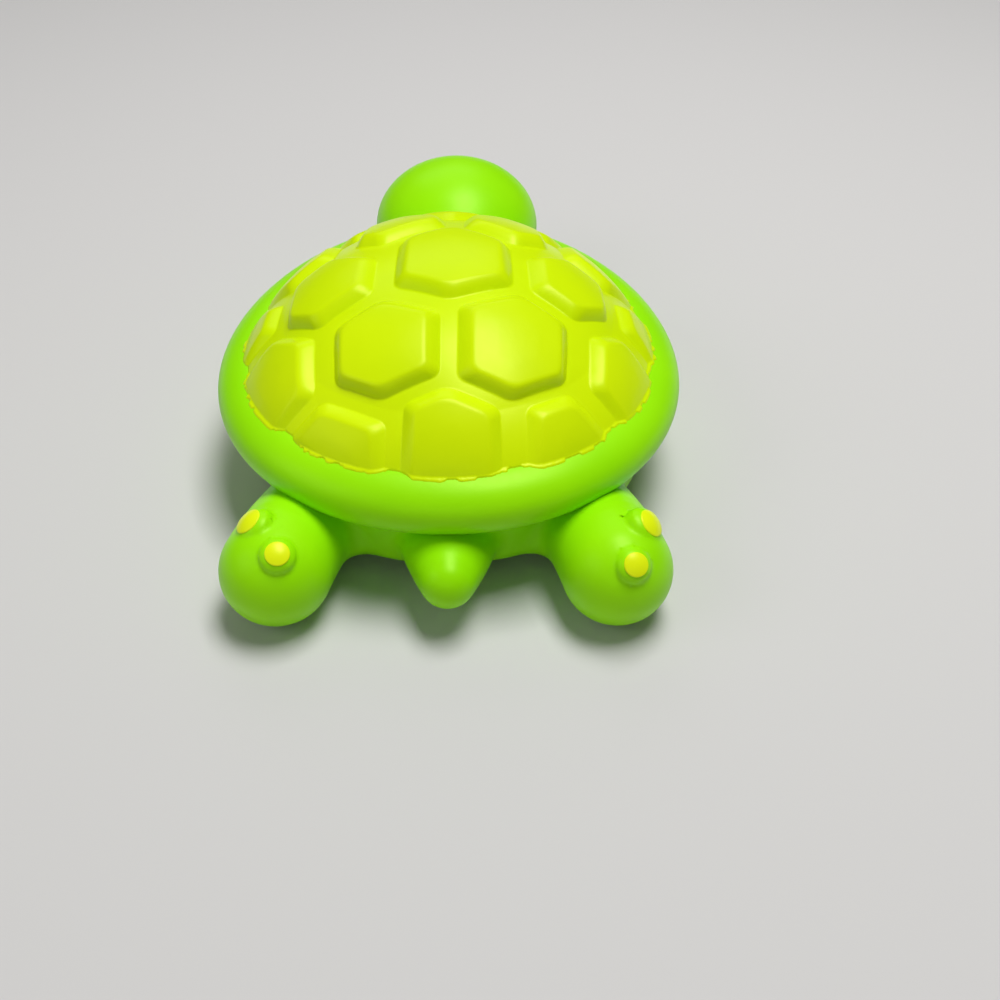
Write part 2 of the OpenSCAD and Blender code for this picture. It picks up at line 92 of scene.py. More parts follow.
# Fillets between the green forms, and how the flippers' fillet grows towards the ground
WEB, WEB_GROWTH, WEB_TOP, WEB_FADE = 1.2, 3.0, 12.5, 6.0
TAIL_FILLET, MUZZLE_FILLET, NECK_FILLET, HEAD_FILLET = 1.6, 3.0, 4.0, 2.0
BOSS_FILLET, BOSS_EDGE, BOSS_FOOT, SOCKET_EDGE, HOLE_EDGE = 0.22, 0.25, 0.3, 0.25, 0.2

# The eyes: how far they look to the side and up, the radii of white and pupil, how the white fits its socket
# and bulges out of it, and how far the pupil stands out of the white and goes into it
EYE_TURN, EYE_LIFT, EYE_R, PUPIL_R = math.radians(34), math.radians(9), 4.2, 2.2
EYE_FIT, SOCKET_LIFT, EYE_BULGE, WHITE_FLAT = 0.12, 4.0, EYE_R / 3, 0.98
PUPIL_RISE, PUPIL_DEEP = 0.08, 0.2

# Each spot: side, the flipper's end and radius, azimuth and tilt of the way out to it, azimuth and tilt that
# it faces, its radius, how far its boss stands out. The front ones are the same on both sides.
FRONT_OUTER, FRONT_INNER = (26, 26, 10, 30, 2.1, 1.2), (-107, 31, -107, 29, 1.9, 1.1)
SPOTS = {
    "hind_spot_left_outer": (1, HIND[1], HIND_R, -24, 23.5, 6, 33, 2.2, 1.05),
    "hind_spot_left_inner": (1, HIND[1], HIND_R, 110, 32.5, 109, 31, 1.85, 1.1),
    "hind_spot_right_outer": (-1, HIND[-1], HIND_R, -16.5, 31.5, 15, 42, 2.25, 1.25),
    "hind_spot_right_inner": (-1, HIND[-1], HIND_R, 75, 42.3, 75, 41, 1.85, 1.1),
    "front_spot_left_outer": (1, FRONT, FRONT_R, *FRONT_OUTER),
    "front_spot_left_inner": (1, FRONT, FRONT_R, *FRONT_INNER),
    "front_spot_right_outer": (-1, FRONT, FRONT_R, *FRONT_OUTER),
    "front_spot_right_inner": (-1, FRONT, FRONT_R, *FRONT_INNER),
}

# A boss: how its top curves down, how far it goes past its spot and slopes there, how its flank widens and
# how deep its root goes. A spot: how far it stands out, how its face curves down and how deep it goes.
BOSS_CURVE, BOSS_RIM, BOSS_SLOPE, BOSS_TAPER, BOSS_ROOT = 0.07, 0.72, 0.5, 0.15, 2.2
SPOT_RISE, SPOT_CURVE, SPOT_DEEP = 0.25, 0.105, 1.0

# How far each side of a plate stands out from the even grid, set one by one, as the photo's plates are
# uneven.
# A key is a plate's row and column. The sides go round from the one towards the tail on the toy's left.
UNEVEN = {
    (0, 0): (0.3, 0.5, 1.7, 3.4, 2.9, 0),
    (-1, 0): (-0.9, -2.2, 0.8, 0, 0, -1.0),
    (-1, -1): (-2.2, -0.9, 0, 0, 0, -0.8),
    (1, 0): (1.0, 0.9, 0.6, 0, 0, -0.4),
    (1, -1): (1.1, 1.2, 0.8, 1.6, 0.8, 0),
    (2, 0): (0, 0, -0.1, 0, 0, -1.5),
    (2, 1): (0, 0, 2.1, -1.0, -0.8, -1.9),
    (2, -1): (0, 0, 0.8, 0, 0, -0.7),
    (1, 1): (0, 1.7, 0, 0, 0, 0),
    (1, -2): (-0.5, 0, 0, 0, 0, -1.7),
    (0, 1): (1.3, 0.5, 0, 0, 0, 0),
    (0, -1): (-0.7, 0, 0, 0, 0, -1.3),
}

# The lip where the skin lies on the rim: how high it starts over the rim, its mean, least and greatest width,
# and its rows, each with its share of the width, its height over the rim and what it adds to the width
LIP_ROOT, LIP_MEAN, LIP_LEAST, LIP_MOST, LIP_START = 0.25, 0.30, 0.05, 1.2, 0.02
LIP_ROWS = ((0.4, 0.20, 0), (0.8, 0.18, 0), (1.0, 0.13, 0), (1.0, -0.03, 0.16), (1.0, -0.3, 0.18))

# The lip's waves, each with its seed, its length and its height, and its steps, which also have a sharpness.
# Fine steps and fine waves come only where the lip is worn.
SLOW_WAVE, COARSE_STEPS = (5, 16.0, 0.12), (21, 9.0, 0.20, 12)
FINE_WAVE, FINE_STEPS = (17, 1.1, 0.04), (8, 3.2, 0.13, 6)
WORN_WAVE, WORN_BIAS = (31, 14.0, 1.6), 0.1
GRAIN_WAVE = (11, 1.4, 0.03)

# How fine the meshes are: the green form's grid in millimetres and the points along the shell's grid
GREEN_STEP = 0.55
SHELL_GRID = 380


# Meshes from arrays
def mesh_piece(name, points, quads):
    """A smooth mesh object in metres, from points about the rim's middle in millimetres and their quads."""
    v = np.asarray(points, float).copy()
    v[:, 1] += MID
    v *= MM
    n = quads.shape[1]
    me = bpy.data.meshes.new(name)
    me.vertices.add(len(v))
    me.vertices.foreach_set("co", v.astype(np.float32).ravel())
    me.loops.add(quads.size)
    me.loops.foreach_set("vertex_index", quads.astype(np.int32).ravel())
    me.polygons.add(len(quads))
    me.polygons.foreach_set("loop_start", np.arange(0, quads.size, n, dtype=np.int32))
    me.polygons.foreach_set("loop_total", np.full(len(quads), n, dtype=np.int32))
    me.update(calc_edges=True)
    me.validate()
    me.polygons.foreach_set("use_smooth", np.full(len(me.polygons), True))
    ob = bpy.data.objects.new(name, me)
    scene.collection.objects.link(ob)
    return ob


def signed_volume(v, q):
    a, b, c, d = (v[q[:, i]] for i in range(4))
    return (np.einsum("ij,ij->i", a, np.cross(b, c)) + np.einsum("ij,ij->i", a, np.cross(c, d))).sum() / 6


def outward(v, q):
    """The quads with their corners in the order that faces them out of the form."""
    return q[:, ::-1] if signed_volume(v, q) < 0 else q


def disc_grid(n):
    """A square grid bent onto the unit disc: x, y, the points' numbers and the quads."""
    g = np.linspace(-1, 1, n)
    a, b = np.meshgrid(g, g, indexing="ij")
    big = np.abs(a) > np.abs(b)
    r = np.where(big, a, b)
    with np.errstate(divide="ignore", invalid="ignore"):
        turn = np.where(big, np.pi / 4 * (b / a), np.pi / 2 - np.pi / 4 * (a / b))
    turn = np.nan_to_num(turn)
    ids = np.arange(n * n).reshape(n, n)
    quads = np.stack([ids[:-1, :-1], ids[1:, :-1], ids[1:, 1:], ids[:-1, 1:]], -1).reshape(-1, 4)
    return r * np.cos(turn), r * np.sin(turn), ids, quads


# Smooth blends and noise
def smooth_min(a, b, k):
    """The lower of two distances, with a fillet of about k between the two forms."""
    h = np.clip(0.5 + 0.5 * (b - a) / k, 0, 1)
    return b + (a - b) * h - k * h * (1 - h)


def smooth_max(a, b, k):
    return -smooth_min(-a, -b, k)


def noise(p, seed, length):
    """Smooth repeatable noise from sums of sines, about -1 to 1."""
    rng = np.random.default_rng(seed)
    octaves, ways, fade, full_turn = 4, 3, 0.62, 6.28
    out = np.zeros(p.shape[:-1])
    for octave in range(octaves):
        for _ in range(ways):
            way = rng.normal(size=p.shape[-1])
            way /= np.linalg.norm(way)
            turns = p @ way * (2 ** octave) / length
            out += np.sin(turns * 2 * np.pi + rng.uniform(0, full_turn)) * fade ** octave
    return out / octaves


def wave(p, seed, length, height):
    return height * noise(p, seed, length)


def torn_steps(p, seed, length, height, sharpness):
    """Noise pressed towards two levels, which gives a torn edge."""
    return height * np.tanh(sharpness * noise(p, seed, length))


# Signed distances to the green form's parts, in millimetres
def plan_offset(x, y):
    """How far out a point lies from the middle of the rim's roll, on the egg-shaped plan."""
    rounds, ease, deepest = 7, 0.95, -28.0
    s = np.zeros_like(x)
    for _ in range(rounds):
        w, l = CORE_W + s, CORE_L + s
        u = x / w / (1 + EGG * y / l)
        q = np.sqrt(np.maximum(u * u + (y / l) ** 2, 1e-9))
        s = s + (q - 1) * (0.5 * (CORE_W + CORE_L) + s) * ease
        s = np.maximum(s, deepest)
    return s


def rim_top(x, y):
    """The height of the rim's roll over a place."""
    s = plan_offset(x, y)
    return RIM_Z + ROLL_H * np.sqrt(np.maximum(1 - (s / ROLL_W) ** 2, 0))


def belly_distance(s, z):
    """A slab with a rounded lower edge, whose top ends inside the rim's roll and under the shell."""
    out = s - (BELLY_OUT - BELLY_ROUND)
    low = (BELLY_Z + BELLY_ROUND) - z
    inner = np.minimum(np.maximum(out, low), 0)
    edge = np.hypot(np.maximum(out, 0), np.maximum(low, 0)) + inner - BELLY_ROUND
    return np.maximum(edge, z - (RIM_Z + BELLY_TOP))


def ellipsoid_distance(p, c, r):
    d = (p - np.array(c)) / np.array(r)
    k0 = np.linalg.norm(d, axis=-1)
    k1 = np.linalg.norm(d / np.array(r), axis=-1)
    return k0 * (k0 - 1) / np.maximum(k1, 1e-6)


def curve(p, t):
    """A place on the curve that three points set."""
    p = [np.array(q, float) for q in p]
    return (1 - t) ** 2 * p[0] + 2 * t * (1 - t) * p[1] + t * t * p[2]


def limb_distance(p, points, radius, squash=1.0, steps=14):
    """A limb along a curve, in short straight lengths. radius is a function of the way along it.

    squash is how flat the limb is at its root. At its tip it is round.
    """
    best = None
    ts = np.linspace(0, 1, steps + 1)
    for t0, t1 in zip(ts[:-1], ts[1:]):
        a, b = curve(points, t0), curve(points, t1)
        ab = b - a
        h = np.clip(((p - a) @ ab) / (ab @ ab), 0, 1)
        r = radius(t0) + (radius(t1) - radius(t0)) * h
        t = t0 + (t1 - t0) * h
        low = squash + (1 - squash) * t * t * (3 - 2 * t)
        q = p - a - h[..., None] * ab
        plan = q[..., 0] ** 2 + q[..., 1] ** 2
        k0 = np.sqrt(plan + (q[..., 2] / low) ** 2) / r
        k1 = np.sqrt(plan + (q[..., 2] / low ** 2) ** 2) / r ** 2
        d = k0 * (k0 - 1) / np.maximum(k1, 1e-6)
        best = d if best is None else np.minimum(best, d)
    return best


def flipper_curve(end, r, side):
    """The three points of a flipper's curve. PAD is cut off under its tip by the ground."""
    x, y = end
    z = r - PAD - r * ROOT_DROP
    return [(side * x * ROOT_SHARES[0], y * ROOT_SHARES[1], z),
            (side * x * BEND_SHARES[0], y * BEND_SHARES[1], z),
            (side * x, y, r - PAD)]


def tail_radius(t):
    return TAIL_ROOT + (TAIL_TIP - TAIL_ROOT) * t ** TAIL_TAPER


def tail_distance(p):
    root, bend = (0, CORE_L - TAIL_TIP, TAIL_Z), (0, CORE_L + TAIL_TIP / 2, TAIL_Z)
    points = [root, bend, (0, TAIL_Y, TAIL_Z + TAIL_TIP / 7)]
    return limb_distance(p, points, tail_radius, TAIL_SQUASH)


def head_distance(p):
    """The head with its muzzle and its neck, which starts inside the body."""
    head = ellipsoid_distance(p, HEAD, HEAD_SIZE)
    muzzle = ellipsoid_distance(p, MUZZLE, MUZZLE_SIZE)
    neck_z = RIM_Z + ROLL_H - NECK_R - NECK_SINK
    neck = limb_distance(p, [(0, -CORE_L * NECK_START, neck_z), (0, -CORE_L, neck_z), HEAD], lambda t: NECK_R)
    return smooth_min(smooth_min(head, muzzle, MUZZLE_FILLET), neck, NECK_FILLET)


def way_to(azimuth, tilt):
    """The way that leans by tilt from straight up, towards an azimuth from +X, in degrees."""
    a, b = math.radians(azimuth), math.radians(tilt)
    return np.array([math.cos(a) * math.sin(b), math.sin(a) * math.sin(b), math.cos(b)])


def spot_place(name):
    """The middle of a spot's face and the way that it faces."""
    side, end, r, azimuth, tilt, face_azimuth, face_tilt, _, rise = SPOTS[name]
    top = np.array([end[0], end[1], r - PAD]) + way_to(azimuth, tilt) * (r + rise)
    flip = np.array([side, 1, 1])
    return top * flip, way_to(face_azimuth, face_tilt) * flip


def eye_place(side):
    """The middle of an eye on the head's surface and the way that it faces."""
    level = math.cos(EYE_LIFT)
    way = np.array([math.sin(EYE_TURN) * level, -math.cos(EYE_TURN) * level, math.sin(EYE_LIFT)])
    size = np.array(HEAD_SIZE)
    spot = way / np.linalg.norm(way / size)
    facing = spot / size ** 2 / np.linalg.norm(spot / size ** 2)
    flip = np.array([side, 1, 1])
    return np.array(HEAD) + spot * flip, facing * flip


def along_and_across(p, place):
    """How far each point lies along the way that a place faces, and how far off that line."""
    c, n = place
    d = p - c
    along = d @ n
    return along, np.sqrt(np.maximum((d ** 2).sum(-1) - along ** 2, 0))


def disc_cut(p, place, r, deep, lift):
    """A short round hole, from deep under a place to lift over it."""
    along, across = along_and_across(p, place)
    return np.maximum(across - r, np.maximum(-deep - along, along - lift))


def boss_drop(across):
    """How far a boss's soft top lies under its middle."""
    return BOSS_CURVE * np.square(across)


def boss_distance(p, name):
    """The low round boss that carries a spot: a soft top, a bevel round the spot and a steep flank."""
    r, rise = SPOTS[name][-2:]
    along, across = along_and_across(p, spot_place(name))
    lid = along + boss_drop(np.minimum(across, r + 1)) + BOSS_SLOPE * np.clip(across - r, 0, 1)
    flank = (across - r - BOSS_RIM + along * BOSS_TAPER) / math.hypot(1, BOSS_TAPER)
    return smooth_max(smooth_max(lid, flank, BOSS_EDGE), -along - BOSS_ROOT * rise, BOSS_FOOT)


def green_distance(p):
    """Signed distance to the outside of the green casting under its rim."""
    x, y, z = p[..., 0], p[..., 1], p[..., 2]
    belly = belly_distance(plan_offset(x, y), z)
    web = WEB + WEB_GROWTH * np.clip((WEB_TOP - z) / WEB_FADE, 0, 1)
    for side in (1, -1):
        hind = limb_distance(p, flipper_curve(HIND[side], HIND_R, side), lambda t: HIND_R, FLIPPER_SQUASH)
        front = limb_distance(p, flipper_curve(FRONT, FRONT_R, side), lambda t: FRONT_R, FLIPPER_SQUASH)
        belly = smooth_min(belly, hind, web)
        belly = smooth_min(belly, front, web)
    belly = smooth_min(belly, tail_distance(p), TAIL_FILLET)
    body = smooth_min(belly, head_distance(p), HEAD_FILLET)
    for name in SPOTS:
        body = smooth_min(body, boss_distance(p, name), BOSS_FILLET)
    for side in (1, -1):
        socket = disc_cut(p, eye_place(side), EYE_R + EYE_FIT, WALL / 2, SOCKET_LIFT)
        body = smooth_max(body, -socket, SOCKET_EDGE)
    under = (np.array([0, 0, BELLY_Z]), np.array([0, 0, 1.0]))
    body = smooth_max(body, -disc_cut(p, under, HOLE_R, HOLE_DEEP, WALL), HOLE_EDGE)
    return smooth_max(body, -z, SOLE_FILLET)


# A quad mesh over a signed distance
def sample(distance, axes):
    """The distance at every point of a grid, worked out a few layers at a time."""
    x, y = np.meshgrid(axes[0], axes[1], indexing="ij")
    d = np.empty([len(a) for a in axes])
    layers = 8
    for k in range(0, len(axes[2]), layers):
        z = axes[2][k:k + layers]
        p = np.empty(x.shape + (len(z), 3))
        p[..., 0], p[..., 1], p[..., 2] = x[..., None], y[..., None], z
        d[:, :, k:k + layers] = distance(p)
    return d


def crossing_quads(inside, index, a):
    """The quads round the grid's edges along one axis that the surface crosses."""
    b, c = (a + 1) % 3, (a + 2) % 3
    lo = [slice(1, -1)] * 3
    lo[a] = slice(0, inside.shape[a] - 1)
    hi = list(lo)
    hi[a] = slice(1, inside.shape[a])
    lo_in = inside[tuple(lo)]
    change = lo_in != inside[tuple(hi)]
    base = np.argwhere(change)
    base[:, b] += 1
    base[:, c] += 1
    corners = []
    for db, dc in ((0, 0), (-1, 0), (-1, -1), (0, -1)):
        q = base.copy()
        q[:, b] += db
        q[:, c] += dc
        corners.append(index[q[:, 0], q[:, 1], q[:, 2]])
    quads = np.stack(corners, 1)
    flip = ~lo_in[change]
    quads[flip] = quads[flip][:, ::-1]
    return quads


def drawn_onto(distance, v, step, rounds=4, reach=0.02, least=0.05):
    """The points moved onto the surface by Newton steps. least keeps a small gradient from a long step."""
    for _ in range(rounds):
        f = distance(v)
        rises = [distance(v + reach * np.eye(3)[a]) - distance(v - reach * np.eye(3)[a]) for a in range(3)]
        g = np.stack(rises, 1) / (2 * reach)
        move = -f[:, None] * g / np.maximum((g * g).sum(1), least)[:, None]
        far = np.linalg.norm(move, axis=1)
        v = v + move * np.minimum(1, step / np.maximum(far, 1e-9))[:, None]
    return v


def surface_net(distance, low, high, step):
    """A quad mesh over distance = 0, with one point to each crossed cell of the grid."""
    axes = [np.arange(a, b + step, step) for a, b in zip(low, high)]
    inside = sample(distance, axes) < 0
    nx, ny, nz = (n - 1 for n in inside.shape)
    cells = np.zeros((nx, ny, nz), int)
    for i in (0, 1):
        for j in (0, 1):
            for k in (0, 1):
                cells += inside[i:nx + i, j:ny + j, k:nz + k]
    crossed = (cells > 0) & (cells < 8)
    index = np.full(cells.shape, -1)
    index[crossed] = np.arange(crossed.sum())
    where = np.argwhere(crossed)
    v = np.stack([axes[a][where[:, a]] + step / 2 for a in range(3)], 1)
    quads = np.concatenate([crossing_quads(inside, index, a) for a in range(3)])
    return drawn_onto(distance, v, step), quads


def make_green_body(step):
    """The body, head, flippers and tail, inside a box that leaves room round them."""
    low, high = (-41.5, -70.5, -1.0), (41.5, 56.5, 32.0)
    v, q = surface_net(green_distance, low, high, step)
    q = outward(v, q)
    v[:, 2] = np.maximum(v[:, 2], 0.0)
    return mesh_piece("green_casting", v, q)


def make_rim(around=900, section=96):
    """The rim's rounded roll, whose section is an ellipse."""
    t = np.linspace(0, 2 * np.pi, around, endpoint=False)[:, None]
    a = np.linspace(0, 2 * np.pi, section, endpoint=False)[None, :]
    s = ROLL_W * np.cos(a)
    x = (CORE_W + s) * np.cos(t) * (1 + EGG * np.sin(t))
    y = (CORE_L + s) * np.sin(t)
    z = RIM_Z + ROLL_H * np.sin(a) + 0 * t
    v = np.stack([x, y, z], -1).reshape(-1, 3)
    ids = np.arange(around * section).reshape(around, section)
    nxt = np.roll(ids, -1, 0)
    q = np.stack([ids, nxt, np.roll(nxt, -1, 1), np.roll(ids, -1, 1)], -1).reshape(-1, 4)
    return mesh_piece("green_rim", v, outward(v, q))


# The shell
def reach_of(p, q):
    """How far out a place of the shell's plan lies, from 0 at the crown to 1 at the edge."""
    return np.hypot(2 * p / SHELL_W, 2 * q / SHELL_L)


def shell_point(p, q, deep):
    """The point of the dome over a place (p, q) of its plan, at a depth under the plates' tops."""
    t = reach_of(p, q)
    a = np.arctan2(q / SHELL_L, p / SHELL_W)
    x = (DOME_W - deep) * np.sin(t * WRAP) * np.cos(a)
    y = (DOME_L - deep) * np.sin(t * WRAP) * np.sin(a)
    x = x * (1 + EGG * 2 * y / SHELL_L)
    return np.stack([x, y + SHELL_BACK, DOME_Z + (DOME_H - deep) * np.cos(t * WRAP)], -1)


def cell_corners(row, col):
    """A plate's middle and its six corners.

    The two corners on the middle line behind the crown are moved apart. Corners near the shell's edge are
    moved past it, so that the outer plates run down to the rim.
    """
    r = PITCH / math.sqrt(3)
    c = np.array([(col + (abs(row) % 2) / 2) * PITCH, SHIFT + row * r * 1.5])
    out = []
    for i in range(6):
        turn = math.radians(30 + 60 * i)
        k = c + r * np.array([math.cos(turn), math.sin(turn)])
        if abs(k[0]) < PITCH / 8 and SHIFT < k[1] < SHIFT + 3.75 * r:
            k = k + np.array([0, -BLUNT if k[1] < SHIFT + 1.5 * r else BLUNT])
        reach = reach_of(k[0], k[1])
        if reach > CORNER_REACH:
            k = k * PAST_EDGE / reach
        out.append(k)
    return c, np.array(out)


def plate_field(p, q):
    """How far inside its plate each place of the plan lies, negative in the grooves."""
    far_out, touching = -99.0, 0.01
    best = np.full(p.shape, far_out)
    for row in range(-3, 4):
        for col in range(-3, 4):
            c, k = cell_corners(row, col)
            if reach_of(c[0], c[1]) > PLATE_REACH:
                continue
            uneven = UNEVEN.get((row, col), (0,) * 6)
            inner = None
            for i in range(6):
                a, b = k[i], k[(i + 1) % 6]
                if np.linalg.norm(b - a) < touching:
                    continue
                e = (b - a) / np.linalg.norm(b - a)
                n = np.array([-e[1], e[0]])
                d = (p - a[0]) * n[0] + (q - a[1]) * n[1] - GROOVE / 2 + uneven[i]
                inner = d if inner is None else smooth_min(inner, d, CORNER_ROUND)
            best = np.maximum(best, inner)
    return best


def relief(p, q):
    """Depth of the shell's surface under the plates' tops."""
    d = plate_field(p, q)
    flare = FLARE * np.clip((reach_of(p, q) - FLARE_START) / (1 - FLARE_START), 0, 1)
    u = np.clip((d / BEVEL + BEVEL_START) / BEVEL_RUN, 0, 1)
    rise = smooth_min(BEVEL_OVER - BEVEL_OVER * (1 - u) ** BEVEL_BEND, 0 * d + 1, BEVEL_SOFT)
    crown = PLATE_CROWN * np.clip(d / (PITCH * CROWN_RUN), 0, 1)
    return (PLATE_H - flare) * (1 - rise) + PLATE_DIP * rise - crown * rise


def shell_end(ways):
    """How far out the relief meets the rim, for each way out from the crown, by halving."""
    nearest, rounds = 0.7, 30
    lo, hi = np.full(len(ways), nearest), np.full(len(ways), PAST_EDGE)
    for _ in range(rounds):
        mid = (lo + hi) / 2
        p, q = mid * SHELL_W / 2 * np.cos(ways), mid * SHELL_L / 2 * np.sin(ways)
        pt = shell_point(p, q, relief(p, q))
        over = pt[:, 2] - rim_top(pt[:, 0], pt[:, 1]) - LIP_ROOT
        lo, hi = np.where(over > 0, mid, lo), np.where(over > 0, hi, mid)
    return (lo + hi) / 2


def lip_rows(base):
    """The rows of points of the thin ragged lip, from the relief's edge out over the rim and down into it."""
    out = np.stack([base[:, 0] / (SHELL_W / 2) ** 2, (base[:, 1] - SHELL_BACK) / (SHELL_L / 2) ** 2], 1)
    out /= np.linalg.norm(out, axis=1)[:, None]
    plan = base[:, :2]
    worn = np.clip(wave(plan, *WORN_WAVE) + WORN_BIAS, 0, 1)
    ragged = LIP_MEAN + wave(plan, *SLOW_WAVE) + torn_steps(plan, *COARSE_STEPS)
    ragged = ragged + worn * (torn_steps(plan, *FINE_STEPS) + wave(plan, *FINE_WAVE))
    wide = np.clip(ragged, LIP_LEAST, LIP_MOST)
    rows = []
    for share, height, more in LIP_ROWS:
        xy = plan + out * (LIP_START + wide * share + more)[:, None]
        rows.append(np.column_stack([xy, rim_top(xy[:, 0], xy[:, 1]) + height + wave(xy, *GRAIN_WAVE)]))
    return rows


def make_shell(n, ways_out=1440):
    """The relief, on a grid bent onto the dome, with the lip round its edge."""
    cx, cy, ids, quads = disc_grid(n)
    theta, rad = np.arctan2(cy, cx), np.hypot(cx, cy)
    ways = np.linspace(-np.pi, np.pi, ways_out, endpoint=False)
    end = shell_end(ways)
    reach = np.interp(theta.ravel(), np.r_[ways, np.pi], np.r_[end, end[0]]).reshape(theta.shape)
    p, q = rad * reach * np.cos(theta) * SHELL_W / 2, rad * reach * np.sin(theta) * SHELL_L / 2
    v = shell_point(p, q, relief(p, q)).reshape(-1, 3)
    ring = np.r_[ids[:-1, 0], ids[-1, :-1], ids[:0:-1, -1], ids[0, :0:-1]]
    rows = lip_rows(v[ring])
    k = len(ring)
    numbers = [ring] + [len(v) + i * k + np.arange(k) for i in range(len(rows))]
    lip = []
    for a, b in zip(numbers[:-1], numbers[1:]):
        lip.append(np.stack([a, np.roll(a, -1), np.roll(b, -1), b], 1)[:, ::-1])
    return mesh_piece("shell_relief", np.concatenate([v] + rows), np.concatenate([quads] + lip))


def make_liner(n=96):
    """The green wall right under the yellow skin."""
    cx, cy, _, quads = disc_grid(n)
    deep = PLATE_H + SKIN_T + SKIN_GAP
    v = shell_point(cx * SHELL_W / 2, cy * SHELL_L / 2, deep).reshape(-1, 3)
    return mesh_piece("shell_liner", v, quads)


# Round caps: the spots and the eyes
def make_cap(name, place, r, height, deep, n=72):
    """A round cap with a short plug under it. height gives its face over its place at each way across."""
    c, way = place
    count, edge, chamfer, plug, middle = 14, 0.985, 0.06, 0.5, 0.02
    rings = [(r * k / count, height(r * k / count)) for k in range(1, count)]
    rings += [(r * edge, height(r * edge)), (r, height(r) - chamfer), (r, -deep), (r * plug, -deep)]
    side = np.cross(way, [0.0, 0.0, 1.0])
    side /= np.linalg.norm(side)
    over = np.cross(way, side)
    a = np.linspace(0, 2 * np.pi, n, endpoint=False)[:, None]
    spoke = np.cos(a) * side + np.sin(a) * over
    v = [c + way * height(0.0) + spoke * middle] + [c + way * h + spoke * q for q, h in rings]
    ids = np.arange(len(v) * n).reshape(len(v), n)
    quads = [np.stack([u, w, np.roll(w, -1), np.roll(u, -1)], 1) for u, w in zip(ids[:-1], ids[1:])]
    quads = np.concatenate(quads)
    v = np.concatenate(v)
    return mesh_piece(name, v, outward(v - c, quads))


def spot_height(across):
    return SPOT_RISE - SPOT_CURVE * across * across


def white_height(across):
    return EYE_BULGE * math.sqrt(1 - (across / EYE_R) ** 2 * WHITE_FLAT)


def pupil_height(across):
    return PUPIL_RISE + EYE_BULGE * math.sqrt(1 - (across / EYE_R) ** 2)


# Materials, whose texture scales are in waves per metre
MOTTLE_SCALE, SKIN_SCALE, LINES_SCALE = 38.0, 900.0, 4000.0


def new_material(name):
    m = bpy.data.materials.new(name)
    m.use_nodes = True
    nt = m.node_tree
    return m, nt, nt.nodes["Principled BSDF"]


def node(nt, kind, **values):
    n = nt.nodes.new(kind)
    for k, v in values.items():
        if k in n.inputs:
            n.inputs[k].default_value = v
        else:
            setattr(n, k, v)
    return n


def vinyl(name, deep, light, rough, skin=0.00012, shine=0.5, gloss=(1, 1, 1)):
    """Soft vinyl: two close tones in a slow mottle, a satin sheen that varies a little, and a fine skin."""
    m, nt, bsdf = new_material(name)
    link = nt.links.new
    coords = node(nt, "ShaderNodeTexCoord")
    slow = node(nt, "ShaderNodeTexNoise", Scale=MOTTLE_SCALE, Detail=3.0, Roughness=0.5)
    fine = node(nt, "ShaderNodeTexNoise", Scale=SKIN_SCALE, Detail=4.0, Roughness=0.6)
    link(coords.outputs["Object"], slow.inputs["Vector"])
    link(coords.outputs["Object"], fine.inputs["Vector"])
    tone = node(nt, "ShaderNodeMapRange")
    tone.inputs["From Min"].default_value = 0.35
    tone.inputs["From Max"].default_value = 0.65
    link(slow.outputs["Fac"], tone.inputs["Value"])
    mix = node(nt, "ShaderNodeMix", data_type="RGBA")
    mix.inputs["A"].default_value = (*deep, 1)
    mix.inputs["B"].default_value = (*light, 1)
    link(tone.outputs["Result"], mix.inputs["Factor"])
    link(mix.outputs["Result"], bsdf.inputs["Base Color"])
    sheen = node(nt, "ShaderNodeMapRange")
    sheen.inputs["To Min"].default_value = rough - 0.04
    sheen.inputs["To Max"].default_value = rough + 0.05
    link(fine.outputs["Fac"], sheen.inputs["Value"])
    link(sheen.outputs["Result"], bsdf.inputs["Roughness"])
    bump = node(nt, "ShaderNodeBump")
    bump.inputs["Strength"].default_value = 0.12
    bump.inputs["Distance"].default_value = skin
    link(fine.outputs["Fac"], bump.inputs["Height"])
    link(bump.outputs["Normal"], bsdf.inputs["Normal"])
    bsdf.inputs["IOR"].default_value = 1.5
    bsdf.inputs["Specular IOR Level"].default_value = shine
    bsdf.inputs["Specular Tint"].default_value = (*gloss, 1)
    return m


def brass():
    """Rolled brass strip, with fine lines along the reed."""
    m, nt, bsdf = new_material("reed_brass")
    link = nt.links.new
    coords = node(nt, "ShaderNodeTexCoord")
    stretch = node(nt, "ShaderNodeMapping")
    stretch.inputs["Scale"].default_value = (1, 1, 0.05)
    lines = node(nt, "ShaderNodeTexNoise", Scale=LINES_SCALE, Detail=3.0)
    link(coords.outputs["Object"], stretch.inputs["Vector"])
    link(stretch.outputs["Vector"], lines.inputs["Vector"])
    tone = node(nt, "ShaderNodeMix", data_type="RGBA")
    tone.inputs["A"].default_value = (0.62, 0.42, 0.14, 1)
    tone.inputs["B"].default_value = (0.72, 0.50, 0.18, 1)
    link(lines.outputs["Fac"], tone.inputs["Factor"])
    link(tone.outputs["Result"], bsdf.inputs["Base Color"])
    bsdf.inputs["Metallic"].default_value = 1.0
    bsdf.inputs["Roughness"].default_value = 0.28
    return m


